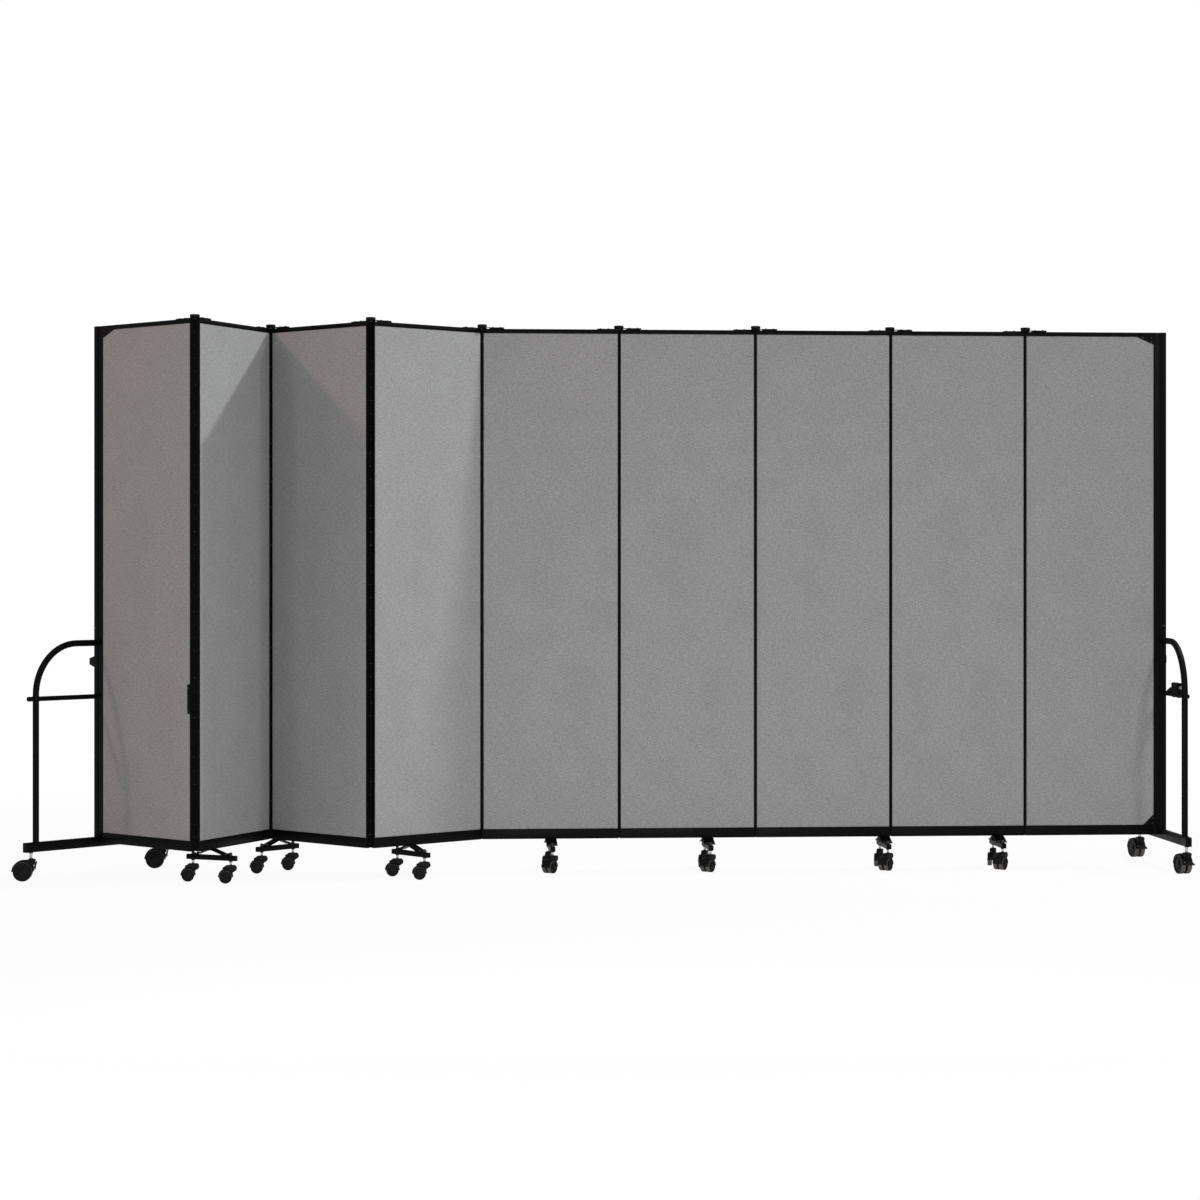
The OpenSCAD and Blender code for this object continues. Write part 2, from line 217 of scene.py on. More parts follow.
def heather(base, warm):
    def pattern(tree):
        cut = tree.node("UVMap", {"uv_map": "cut"})
        place = tree.node("VectorMath", {"operation": "SCALE"}, {0: cut, "Scale": map_side})

        def streaks(along, across):
            stretched = tree.node("Mapping", None, {
                "Vector": place, "Scale": (1 / along, 1 / across, 1.0)})
            return tree.node("TexNoise", None, {"Vector": stretched, "Scale": 1.0, "Detail": 1.5})

        weft = streaks(0.022, yarn)
        warp = streaks(yarn, 0.03)
        fibre = streaks(0.004, 0.004)
        slub = cloud(place, 0.007, 3.0)
        dye = cloud(place, 0.16, 2.0)
        tone = weft * 0.26 + warp * 0.20 + fibre * 0.26 + slub * 0.22 + dye * 0.06
        shade = clipped(tone, 0.417, 0.583)
        colour = colour_mix(shade, grey(base * 0.74, warm), grey(base * 1.27, warm))
        rows = tree.node("Mapping", None, {
            "Vector": place, "Scale": (math.pi / yarn, math.pi / yarn, 1.0)})
        over = tree.node("SeparateXYZ", None, {"Vector": rows})
        up = over.output(1)
        weave = over.math("SINE", over) * up.math("SINE", up)
        height = weave * 0.5 + weft * 0.6 + warp * 0.6
        return {
            "Base Color": colour,
            "Roughness": 0.86 + dye * 0.1,
            "Normal": relief(height, 0.0002, 0.8),
        }

    return pattern


cloth_grey = finish("heather cloth", heather(0.300, 0.004), Specular_IOR_Level=0.2,
                    Sheen_Weight=0.12, Sheen_Roughness=0.5)

# %% [markdown]
# ## Black powder coat
# The steel is powder coated in satin black. Baked powder has the fine skin of an orange, and
# it dulls where hands and feet rub it. The roughness changes slowly over the tubes, and tiny
# pale specks stand for dust and small chips.

# %% Black powder coat
def powder(tree):
    place = tree.node("TexCoord", out=3)
    rubbed = cloud(place, 0.12, 4.0)
    skin = cloud(place, 0.0012, 1.0)
    speck = cloud(place, 0.006, 3.0, 0.7)
    chips = clipped(speck, 0.68, 0.78, 0.0, 0.5)
    return {
        "Base Color": colour_mix(chips, grey(0.0024), grey(0.03, 0.03)),
        "Roughness": 0.36 + rubbed * 0.22 + chips * 0.2,
        "Normal": relief(skin, 0.00004, 0.6),
    }


powder_black = finish("black powder coat", powder, Specular_IOR_Level=0.06)

# %% [markdown]
# ## Plastic, tread and bare steel
# The caster hoods are moulded plastic with a faint spark-eroded grain. The treads are a softer,
# slightly olive grey rubber, scuffed lighter where they roll. Stems and axles are zinc plated,
# and screws, nuts and hinge pins are blackened steel. These parts are only a few centimetres
# wide, so one pattern with other numbers serves all four: blots of wear over a fine grain.

# %% Plastic, tread and bare steel
def worn_skin(dark, light, blot, rough, grain, rougher=0.2, detail=3.0, ragged=0.5,
              depth=0.00002, strength=0.5):
    """A skin that wear makes lighter and duller in blots, over a fine grain."""
    def pattern(tree):
        place = tree.node("TexCoord", out=3)
        worn = cloud(place, blot, detail, ragged)
        return {
            "Base Color": colour_mix(worn, dark, light),
            "Roughness": rough + worn * rougher,
            "Normal": relief(cloud(place, grain), depth, strength),
        }

    return pattern


moulded = worn_skin(grey(0.0045), grey(0.010), blot=0.02, rough=0.42, grain=0.0006,
                    depth=0.00003, strength=0.7)
rolled = worn_skin(grey(0.075, 0.08), grey(0.15, 0.13), blot=0.005, rough=0.6, grain=0.0009,
                   rougher=0.25, detail=4.0, ragged=0.65, depth=0.00008, strength=0.6)
plated = worn_skin(grey(0.40), grey(0.58, 0.02), blot=0.004, rough=0.28, grain=0.0008)
blackened = worn_skin(grey(0.012), grey(0.035), blot=0.002, rough=0.32, grain=0.0007, rougher=0.25)
hood_plastic = finish("moulded black plastic", moulded, Specular_IOR_Level=0.09)
tread_rubber = finish("grey tread", rolled, Specular_IOR_Level=0.2)
zinc = finish("zinc plate", plated, Metallic=1.0)
zinc_black = finish("blackened steel", blackened, Metallic=0.5)

# %% [markdown]
# ## A clear bench
# Blender's tools act on all that is selected, as a file would on all that is in the vice. So
# each helper first clears the bench, and then takes up the pieces, faces or edges that it
# needs. Faces and edges are picked by a test on their place or normal, never by their number.

# %% A clear bench
def clear_bench():
    if bpy.context.mode != "OBJECT":
        bpy.ops.object.mode_set(mode="OBJECT")
    bpy.ops.object.select_all(action="DESELECT")


def hold(*held):
    """Selects these pieces; the first one is the active one."""
    clear_bench()
    for piece in held:
        piece.select_set(True)
    bpy.context.view_layer.objects.active = held[0]
    return held[0]


def work_on(piece, parts="FACE", test=None):
    """Opens a piece in edit mode with the faces or edges selected that pass the test."""
    hold(piece)
    bpy.ops.object.mode_set(mode="EDIT")
    bpy.ops.mesh.select_mode(type=parts)
    bpy.ops.mesh.select_all(action="DESELECT" if test else "SELECT")
    if test:
        shape = bmesh.from_edit_mesh(piece.data)
        for item in shape.faces if parts == "FACE" else shape.edges:
            if test(item):
                item.select_set(True)
        bmesh.update_edit_mesh(piece.data)


def middle_of(item):
    """The middle of a face or of an edge."""
    if isinstance(item, bmesh.types.BMFace):
        return item.calc_center_median()
    return (item.verts[0].co + item.verts[1].co) / 2


def sharp(edge):
    return len(edge.link_faces) == 2 and edge.calc_face_angle() > 0.9


def runs_along(axis, length):
    """A test for sharp edges that are longer than length along x, y or z."""
    return lambda e: sharp(e) and abs(e.verts[0].co[axis] - e.verts[1].co[axis]) > length


# %% [markdown]
# ## Blocks, rods and plates
# Most of the hardware starts as a block, a rod or a plate, and only becomes the real thing
# when its edges are rounded, its ends closed and its holes or dishes sunk. These helpers do
# the first steps: they add a primitive at its size, go into edit mode and bevel it. A plate
# is drawn as an outline and extruded, as a laser cuts it from sheet.

# %% Blocks, rods and plates
def round_off(piece, radius, steps=2, test=sharp):
    """Rounds the edges that pass the test."""
    work_on(piece, "EDGE", test)
    bpy.ops.mesh.bevel(offset=radius, segments=steps, affect="EDGES", clamp_overlap=True)
    return hold(piece)


def painted(piece, material):
    piece.data.materials.append(material)
    return piece


def faces_out():
    """Merges doubles in the open mesh and turns all its faces outwards."""
    bpy.ops.mesh.select_all(action="SELECT")
    bpy.ops.mesh.remove_doubles(threshold=0.00001)
    bpy.ops.mesh.normals_make_consistent(inside=False)


def draw_out(x=0, y=0, z=0):
    """Extrudes what is selected."""
    bpy.ops.mesh.extrude_region_move(TRANSFORM_OT_translate={"value": (x, y, z)})


def settled():
    """The primitive just added, with its place and size written into its mesh."""
    bpy.ops.object.transform_apply(location=True, rotation=True, scale=True)
    return bpy.context.object


def block(x, y, z, material, radius=0.0006, steps=2, test=sharp):
    """A block between its limits, with rounded edges."""
    clear_bench()
    bpy.ops.mesh.primitive_cube_add(size=1, location=[sum(d) / 2 for d in (x, y, z)])
    bpy.context.object.scale = [d[1] - d[0] for d in (x, y, z)]
    return painted(round_off(settled(), radius, steps, test), material)


def rod(start, end, radius, material, rim=0.0005, sides=24, steps=2):
    """A round bar from one point to another, with rounded rims."""
    start, end = Vector(start), Vector(end)
    clear_bench()
    bpy.ops.mesh.primitive_cylinder_add(
        vertices=sides, radius=radius, depth=(end - start).length, location=(start + end) / 2,
        rotation=(end - start).to_track_quat("Z", "Y").to_euler())
    return painted(round_off(settled(), rim, steps), material)


def plate(outline, width, material, radius=0.0004, steps=2):
    """A plate with an outline in the x-z plane, width metres thick about y = 0."""
    mesh = bpy.data.meshes.new("plate")
    mesh.from_pydata([(x, -width / 2, z) for x, z in outline], [], [range(len(outline))])
    piece = bpy.data.objects.new("plate", mesh)
    bpy.context.scene.collection.objects.link(piece)
    work_on(piece)
    draw_out(y=width)
    faces_out()
    return painted(round_off(piece, radius, steps), material)


# %% [markdown]
# ## Copies, joins and names
# What repeats is modelled once, lying at the origin, and then copied into place. A copy gets
# a mesh of its own, and moving means moving its points, so that every finished piece keeps
# its origin in the middle of the screen. Parts that never move apart are joined.

# %% Copies, joins and names
def moved(piece, matrix):
    """Moves a piece's mesh, and turns its faces out again where the move is a mirror."""
    piece.data.transform(matrix)
    if matrix.determinant() < 0:
        work_on(piece)
        bpy.ops.mesh.flip_normals()
    return hold(piece)


def another(pattern, matrix=Matrix.Identity(4)):
    """A copy with its own mesh, moved."""
    piece = pattern.copy()
    piece.data = pattern.data.copy()
    bpy.context.scene.collection.objects.link(piece)
    return moved(piece, matrix)


def modified(piece, kind, **settings):
    """Adds a modifier with these settings and applies it."""
    modifier = piece.modifiers.new(kind, kind)
    for name, value in settings.items():
        setattr(modifier, name, value)
    hold(piece)
    bpy.ops.object.modifier_apply(modifier=modifier.name)
    return piece


def assembled(*parts):
    """Joins parts into one piece with smooth rounds and crisp flats."""
    piece = hold(*parts)
    bpy.ops.object.join()
    bpy.ops.object.shade_smooth_by_angle(angle=math.radians(38))
    return piece


def put_away(*patterns):
    for pattern in patterns:
        bpy.data.objects.remove(pattern)


def fit(piece, name, body, slot, *nodes):
    """Names a finished piece and lets it ride on its body in place of the measured nodes."""
    piece.name = piece.data.name = name
    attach(piece, body)
    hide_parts(*nodes)
    return piece


def open_edges(piece):
    """How many edges don't lie between exactly two faces."""
    shape = bmesh.new()
    shape.from_mesh(piece.data)
    count = sum(len(edge.link_faces) != 2 for edge in shape.edges)
    shape.free()
    return count


def reach_of(piece):
    """Lowest and highest corner of a piece, in millimetres."""
    return [[round(end(v.co[i] for v in piece.data.vertices) * 1000, 1) for i in range(3)]
            for end in (min, max)]


def at(x=0, y=0, z=0):
    return Matrix.Translation((x, y, z))


# %% [markdown]
# ## Cloth on the boards
# Each face of a board has its own stretched piece of cloth. It lies flat over the face, turns
# round the board's edge in a tight bend and is tucked behind the frame. A flat sheet of points
# is enough: the distance from the cut edge says how far a point has gone round the bend. Slow
# waves of half a millimetre keep the face from looking like painted metal. The cloth is then
# given its real thickness.

# %% Cloth on the boards
cloth_low, cloth_high = 0.1702, 2.1828
thin_stile, wide_stile = 0.0057, 0.0202
cloth_face = 0.0088
tuck = 0.004
edge_bend = 0.0035
bend_length = edge_bend * math.pi / 2
cloth_thickness = 0.0008
hem = tuck + bend_length - edge_bend


def board_span(k):
    """Where a board starts and ends along its panel. The end panels have one wide stile."""
    left, right = (wide_stile if k == end else thin_stile for end in (1, panels))
    return left, pitch - right


def round_edge(d):
    """(distance in from the board's edge, depth below its face) of a point d from the cut."""
    if d < tuck:
        return 0.0, edge_bend + tuck - d
    if d < tuck + bend_length:
        a = (d - tuck) / edge_bend
        return edge_bend * (1 - math.cos(a)), edge_bend * (1 - math.sin(a))
    return edge_bend + d - tuck - bend_length, 0.0


def cut_stations(length, step):
    """Places across the cut cloth, close together round the bends."""
    near = [0, tuck] + [tuck + bend_length * i / 4 for i in range(1, 5)]
    near += [tuck + bend_length + 0.012]
    inner = length - 2 * near[-1]
    count = max(2, round(inner / step))
    wide = [near[-1] + inner * i / count for i in range(1, count)]
    return near + wide + [length - d for d in reversed(near)]


def stretched_cloth(k, face):
    """The cloth on one face of board k; face is -1 for the front and 1 for the back."""
    left, right = board_span(k)
    wide, tall = right - left, cloth_high - cloth_low
    flat = (wide + 2 * hem, tall + 2 * hem)
    across, up = cut_stations(flat[0], 0.020), cut_stations(flat[1], 0.026)
    points, spots = [], []
    for t in up:
        rise, low_depth = round_edge(min(t, flat[1] - t))
        z = rise if t < flat[1] / 2 else tall - rise
        for s in across:
            run, side_depth = round_edge(min(s, flat[0] - s))
            x = run if s < flat[0] / 2 else wide - run
            slack = noise.noise(Vector((x * 7, z * 2.2, 11.3 * k + face))) * 0.0005
            calm = min(1, run / 0.05, rise / 0.05)
            depth = min(low_depth + side_depth, edge_bend + tuck)
            y = face * (cloth_face - depth + min(0, slack) * calm - 0.0001)
            points.append((left + x, y, cloth_low + z))
            spots.append((s / map_side, t / map_side))
    n = len(across)
    squares = [
        (i + j * n, i + 1 + j * n, i + 1 + (j + 1) * n, i + (j + 1) * n)
        for j in range(len(up) - 1) for i in range(n - 1)
    ]
    if face > 0:
        squares = [square[::-1] for square in squares]
    mesh = bpy.data.meshes.new("cloth")
    mesh.from_pydata(points, [], squares)
    layer = mesh.uv_layers.new(name="cut")
    for loop in mesh.loops:
        layer.data[loop.index].uv = spots[loop.vertex_index]
    mesh.transform(stand[k])
    cloth = bpy.data.objects.new("cloth", mesh)
    bpy.context.scene.collection.objects.link(cloth)
    modified(cloth, "SOLIDIFY", thickness=cloth_thickness, offset=-1)
    bpy.ops.object.shade_smooth()
    painted(cloth, cloth_grey)
    fit(cloth, f"cloth_{k}_{'front' if face < 0 else 'back'}", f"panel_{k}", "fabric", f"board_{k}")
    return flat


for k in range(1, panels + 1):
    for face in (-1, 1):
        flat = stretched_cloth(k, face)
print("a cut piece of cloth is", [round(d, 3) for d in flat], "m")

# %% [markdown]
# ## Screws and rivets
# The same few fasteners turn up all over the screen: pan head screws, pop rivets and hexagon
# bolts. Each is modelled once, as a short rod whose rim is well rounded. A cross could be cut
# into the screw with two slots. At this size a dished centre reads the same, so each head gets
# a small inset that is pushed down.

# %% Screws and rivets
def sunk_centre(piece, top, rim, depth):
    """Insets the flat face at height top and pushes its middle down."""
    work_on(piece, "FACE", lambda f: f.normal.z > 0.9 and abs(middle_of(f).z - top) < 1e-5)
    bpy.ops.mesh.inset(thickness=rim, depth=0)
    draw_out(z=-depth)
    return hold(piece)


screw = sunk_centre(rod((0, 0, -0.001), (0, 0, 0.0022), 0.0040, zinc_black, 0.0012, 16, 3),
                    0.0022, 0.0013, 0.0007)
rivet = sunk_centre(rod((0, 0, -0.001), (0, 0, 0.0011), 0.0032, zinc_black, 0.0007, 16, 2),
                    0.0011, 0.0009, 0.0005)
bolt = sunk_centre(rod((0, 0, -0.001), (0, 0, 0.0042), 0.0058, zinc_black, 0.0008, 6, 2),
                   0.0042, 0.0012, 0.0003)
facing = {
    "up": Matrix.Identity(4),
    "front": Matrix.Rotation(math.radians(90), 4, "X"),
    "back": Matrix.Rotation(math.radians(-90), 4, "X"),
}


def fasten(pattern, place, way="up"):
    return another(pattern, at(*place) @ facing[way])


print("open edges on a screw:", open_edges(screw), "on a rivet:", open_edges(rivet))

# %% [markdown]
# ## Piano hinge
# A piano hinge runs down the whole height of each joint. It has two thin leaves with rolled
# knuckles in turn on one pin. The measured model has a few long knuckles only, and here each
# one is about 52 mm long as on a real strip. One knuckle is modelled and repeated up the pin
# with an array. The leaf's edge is cut off on a slant, so that it clears the other's knuckles.

# %% Piano hinge
hinge_low, hinge_high = 0.132, 2.200
knuckle_count = 40
knuckle_pitch = (hinge_high - hinge_low) / knuckle_count
knuckle_radius, knuckle_space = 0.0026, 0.0003
panel_half = 0.0095
hinge_gap = 0.0025
leaf = 0.0012


def hinge_strip(first):
    """One leaf, with its panel towards -x and the pin at the origin."""
    sheet = block((-hinge_gap, leaf - hinge_gap), (-pin_out - panel_half, -0.0008),
                  (hinge_low, hinge_high), powder_black, 0.0003, 1)
    work_on(sheet)
    bpy.ops.mesh.bisect(plane_co=(leaf - hinge_gap, -0.0024, 0), plane_no=(1.0, 1.16, 0),
                        use_fill=True, clear_outer=True)
    hold(sheet)
    low = hinge_low + first * knuckle_pitch + knuckle_space / 2
    high = low + knuckle_pitch - knuckle_space
    roll = rod((0, 0, low), (0, 0, high), knuckle_radius, powder_black, 0.0004, 20, 1)
    root = block((-hinge_gap, leaf - hinge_gap), (-knuckle_radius - 0.0006, -0.001), (low, high),
                 powder_black, 0.0002, 1)
    rolls = modified(assembled(roll, root), "ARRAY", count=knuckle_count // 2,
                     use_relative_offset=False, use_constant_offset=True,
                     constant_offset_displace=(0, 0, 2 * knuckle_pitch))
    return assembled(sheet, rolls)


strips = [hinge_strip(0), hinge_strip(1)]
pin = rod((0, 0, hinge_low - 0.001), (0, 0, hinge_high + 0.001), 0.0013, zinc_black, 0.0005, 12)
print("a knuckle is", round(knuckle_pitch * 1000, 1), "mm long")

# %% [markdown]
# ## Top hinge plates
# On top of each joint, two flat plates turn on one bolt under a round plastic cap. Each plate is
# a bar with a round eye, which is cut from one sheet. A union of a block and a disc gives that
# outline, and a small bevel follows its edge. The cap is a low cylinder with a generous round.

# %% Top hinge plates
plate_length, plate_thick, plate_eye = 0.090, 0.0025, 0.0185
rail_top = 2.200
lower_plate, upper_plate = rail_top + 0.0005, rail_top + 0.0035
cap_low, cap_high, cap_radius = 2.2063, 2.217, 0.020


def united(piece, other):
    """Joins two closed shapes into one skin."""
    modified(piece, "BOOLEAN", operation="UNION", solver="EXACT", object=other)
    put_away(other)
    return piece


def hinge_plate(low):
    high = low + plate_thick
    across = (-pin_out - panel_half, panel_half - pin_out)
    upright_edge = runs_along(2, 0.002)
    bar = block((-plate_length, -0.002), across, (low, high), powder_black, 0.003, 3,
                lambda e: upright_edge(e) and middle_of(e).x < -0.08)
    eye = rod((0, 0, low), (0, 0, high), plate_eye, powder_black, 0.00005, 48, 1)
    bar = round_off(united(bar, eye), 0.0004, 2)
    pad = block((-plate_length + 0.001, -0.030), across, (rail_top - 0.0005, low + 0.001),
                powder_black, 0.0004)
    heads = [fasten(screw, (x, -pin_out, high)) for x in (-0.076, -0.044)]
    return [bar, pad, *heads]


cap = rod((0, 0, cap_low), (0, 0, cap_high), cap_radius, hood_plastic, 0.0050, 48, 6)
cap = sunk_centre(cap, cap_high, 0.0030, 0.0004)
neck = rod((0, 0, lower_plate), (0, 0, cap_low + 0.001), 0.003, zinc_black, 0.0003, 16)
lower_hinge = assembled(*hinge_plate(lower_plate), neck, cap)
upper_hinge = assembled(*hinge_plate(upper_plate))
print("open edges on the hinge plates:", open_edges(lower_hinge), open_edges(upper_hinge))

# %% [markdown]
# ## Outrigger
# Seven panels stand on a short cross bar with a caster at each end. The bar is square tube with
# plastic plugs in its ends, and a bent steel strap joins it to the panel. The strap is drawn as
# a line of cross folds, given its thickness and rounded, as a strap is bent from flat bar.

# %% Outrigger
bar_low, bar_high, bar_half, bar_reach = 0.087, 0.107, 0.010, 0.110
strap_half, strap_thick = 0.0225, 0.004
foot_bend, foot_end, foot_height = 0.0635, 0.076, 0.1092


def outrigger():
    tube = block((-bar_half, bar_half), (-bar_reach, bar_reach), (bar_low, bar_high),
                 powder_black, 0.002, 3, runs_along(1, 0.1))
    work_on(tube, "FACE", lambda f: abs(f.normal.y) > 0.9)
    bpy.ops.mesh.inset(thickness=0.0018, depth=0, use_individual=True)
    bpy.ops.mesh.inset(thickness=0.0004, depth=-0.0008, use_individual=True)
    clear_bench()
    bpy.ops.mesh.primitive_plane_add(size=1, location=(0, -(foot_end + foot_bend) / 2, foot_height))
    bpy.context.object.scale = (2 * strap_half, foot_end - foot_bend, 1)
    strap = settled()
    corner = Vector((0, -foot_bend, foot_height))
    work_on(strap, "EDGE", lambda e: abs(middle_of(e).y + foot_bend) < 1e-5)
    for y, z in [(-0.0115, 0.1278), (0.0115, 0.1278), (foot_bend, foot_height), (foot_end, foot_height)]:
        step = Vector((0, y, z)) - corner
        draw_out(*step)
        corner += step
    faces_out()
    modified(strap, "SOLIDIFY", thickness=strap_thick - 0.0004, offset=0)
    round_off(strap, 0.0008, 2)
    painted(strap, powder_black)
    bolts = [fasten(bolt, (x, y, 0.1112)) for x in (-0.012, 0.012) for y in (-0.070, 0.070)]
    return assembled(tube, strap, *bolts)


cross_bar = outrigger()
print("open edges on the outrigger:", open_edges(cross_bar))

# %% [markdown]
# ## Panel frames
# A panel's frame has a tall bottom rail, a low top rail and two thin stiles that only show as a
# line at each joint. Panels 1 and 9 have a wide stile at their free end, where the upright is
# bolted on, and gussets are riveted over the corners. All the parts that turn together on one
# panel are joined into one piece, because they never move apart.

# %% Panel frames
rail_low, bottom_rail, top_rail = 0.130, 0.040, 0.017
overhang, seam = 0.006, 0.0002
gusset_thick, pull_width = 0.0016, 0.016
nest = [3, 8, 6, 5, 4, 2, 7]
nest_first, nest_step = 0.028, 0.084


def frame_span(k):
    return (-overhang if k == 1 else hinge_gap, pitch + (overhang if k == panels else -hinge_gap))


def outrigger_place(k):
    inward = nest_first + nest_step * nest.index(k)
    return inward if k % 2 else pitch - inward


def at_hinge(k, right):
    side = pin_side(k if right else k - 1)
    mirror = Matrix.Diagonal((1 if right else -1, side, 1, 1))
    return at(pitch if right else 0, side * pin_out) @ mirror


def gusset(corner, across, up):
    """A corner plate on both faces, with three rivets each."""
    x, z = corner
    parts = []
    for face, way in ((-1, "front"), (1, "back")):
        outline = [(x, z), (x + across, z), (x, z + up)]
        sheet = plate(outline, gusset_thick, powder_black, 0.0003, 1)
        parts += [moved(sheet, at(y=face * (panel_half + 0.001)))]
        for u, v in ((0.14, 0.16), (0.62, 0.13), (0.12, 0.66)):
            spot = (x + across * u, face * (panel_half + 0.0018), z + up * v)
            parts += [fasten(rivet, spot, way)]
    return parts


def pull_plate():
    """The plate on the edge of panel 1 that a hand pulls the screen open by."""
    low, high = 0.664, 0.780
    outline = [(0, low + 0.005), (0.005, low), (pull_width, low),
               (pull_width, high), (0.005, high), (0, high - 0.005)]
    edge = pitch - hinge_gap - pull_width
    pull = moved(plate(outline, 0.002, powder_black, 0.0004), at(edge, -panel_half - 0.0012))
    spots = [(pitch - 0.0095, -panel_half - 0.0022, z) for z in (low + 0.014, high - 0.014)]
    return [pull] + [fasten(rivet, spot, "front") for spot in spots]


def panel_frame(k):
    left, right = board_span(k)
    outer_left, outer_right = frame_span(k)
    rail, thick = (left - 0.001, right + 0.001), (-panel_half, panel_half)
    over_board, under_board = rail_low + bottom_rail, rail_top - top_rail
    parts = [
        block(rail, thick, (rail_low, over_board), powder_black, 0.0008),
        block(rail, thick, (under_board, rail_top), powder_black, 0.0008),
        block((outer_left, left - seam), thick, (rail_low, rail_top), powder_black),
        block((right + seam, outer_right), thick, (rail_low, rail_top), powder_black),
    ]
    if k < panels:
        parts += [another(p, at_hinge(k, True)) for p in (strips[0], pin, lower_hinge)]
    if k > 1:
        parts += [another(p, at_hinge(k, False)) for p in (strips[1], upper_hinge)]
    if k == 1:
        parts += gusset((left, under_board), 0.075, -0.033) + pull_plate()
    if k == panels:
        parts += gusset((right, under_board), -0.075, -0.033)
        parts += gusset((right, over_board), -0.045, 0.045)
    if 1 < k < panels:
        parts += [another(cross_bar, at(outrigger_place(k)))]
    piece = moved(assembled(*parts), stand[k])
    return fit(piece, f"panel_frame_{k}", f"panel_{k}", "frame", f"frame_{k}")


for k in range(1, panels + 1):
    made = panel_frame(k)
print("a panel frame has", len(made.data.polygons), "faces")

# %% [markdown]
# ## End frames
# The upright and the base of an end frame are rectangular tube, welded in a T. A round tube is
# bent over the base like an arch and is joined to the upright at hip height, with a thinner
# crossbar below it. The arch is made as the tube bender does it: a disc is drawn up into the
# leg, swept round the bend and drawn out to the upright.

# %% End frames
tube_half = 0.0127
base_low, base_high, base_reach = 0.113, 0.151, 0.366
arch_radius, leg_out, arch_top, bend = 0.0127, 0.312, 0.930, 0.200
crossbar_height, crossbar_radius, crossbar_reach = 0.715, 0.0095, 0.352
post_place, bumper_height = 0.5779, 0.854
spin_way = -1
half_turn = Matrix.Rotation(math.pi, 4, "Z")
side_on = (math.pi / 2, 0, 0)


def post_along(k):
    """Where the upright stands along panel 1 or panel 9."""
    return pitch - post_place if k == 1 else post_place


def plugged_tube(x, y, z, along):
    """Rectangular tube with rounded corners and a plastic plug at each end."""
    axis = "xyz".index(along)
    tube = block(x, y, z, powder_black, 0.003, 4, runs_along(axis, 0.1))
    work_on(tube, "FACE", lambda f: abs(f.normal[axis]) > 0.9)
    bpy.ops.mesh.inset(thickness=0.0016, depth=0, use_individual=True)
    bpy.ops.mesh.extrude_region_shrink_fatten(TRANSFORM_OT_shrink_fatten={"value": -0.0006})
    bpy.ops.mesh.inset(thickness=0.0006, depth=0.0010, use_individual=True)
    return hold(tube)


def bent_arch():
    """One half of the arch, from the base up over the bend to the upright."""
    clear_bench()
    bpy.ops.mesh.primitive_circle_add(vertices=32, radius=arch_radius, fill_type="NGON",
                                      location=(0, leg_out, base_high - 0.001))
    half = settled()
    work_on(half)
    draw_out(z=arch_top - bend - base_high + 0.001)
    bpy.ops.mesh.spin(steps=20, angle=spin_way * math.pi / 2, axis=(1, 0, 0),
                      center=(0, leg_out - bend, arch_top - bend))
    draw_out(y=bend - leg_out)
    faces_out()
    return painted(hold(half), powder_black)


def weld(y, z, radius, turn=side_on):
    """A bead of weld round the end of a round tube."""
    clear_bench()
    bpy.ops.mesh.primitive_torus_add(major_radius=radius, minor_radius=0.0016, major_segments=32,
                                     minor_segments=8, location=(0, y, z), rotation=turn)
    return painted(settled(), powder_black)


arch = bent_arch()
print("the arch lies within", reach_of(arch), "mm and has", open_edges(arch), "open edges")


def latch():
    """Spring latch on the crossbar: two saddles, the bolt's housing, the bolt and its lever."""
    low = crossbar_height + 0.006
    centre, lid_half = low + 0.024, 0.0108
    body = block((-0.010, 0.010), (-0.242, -0.156), (low, low + 0.043), powder_black, 0.003, 3)
    lid = block((-lid_half, lid_half), (-0.232, -0.166), (low + 0.012, low + 0.036),
                powder_black, 0.002, 2)
    tongue = rod((0, -0.262, centre), (0, -0.241, centre), 0.0055, zinc, 0.0012)
    saddles = [rod((0, y - 0.006, crossbar_height), (0, y + 0.006, crossbar_height), 0.0118,
                   powder_black, 0.0008, 32) for y in (-0.230, -0.168)]
    lever = plate([(-0.158, 0.724), (-0.082, 0.724), (-0.080, 0.729), (-0.100, 0.735),
                   (-0.125, 0.743), (-0.145, 0.743), (-0.158, 0.738)], 0.012, hood_plastic, 0.002, 3)
    sideways = Matrix.Rotation(math.pi / 2, 4, "Y")
    heads = [another(screw, at(lid_half, y, centre) @ sideways) for y in (-0.222, -0.176)]
    return [body, lid, tongue, moved(lever, Matrix.Rotation(math.pi / 2, 4, "Z")), *saddles, *heads]


def bumper(outward, out, rim):
    """The stop block on the outside of an upright."""
    foot, tip = tube_half - 0.001, tube_half + out
    outline = [(foot, bumper_height - 0.024), (tip, bumper_height - 0.013),
               (tip, bumper_height + 0.013), (foot, bumper_height + 0.024)]
    return moved(plate(outline, 0.018, hood_plastic, rim, 3), Matrix.Diagonal((outward, 1, 1, 1)))


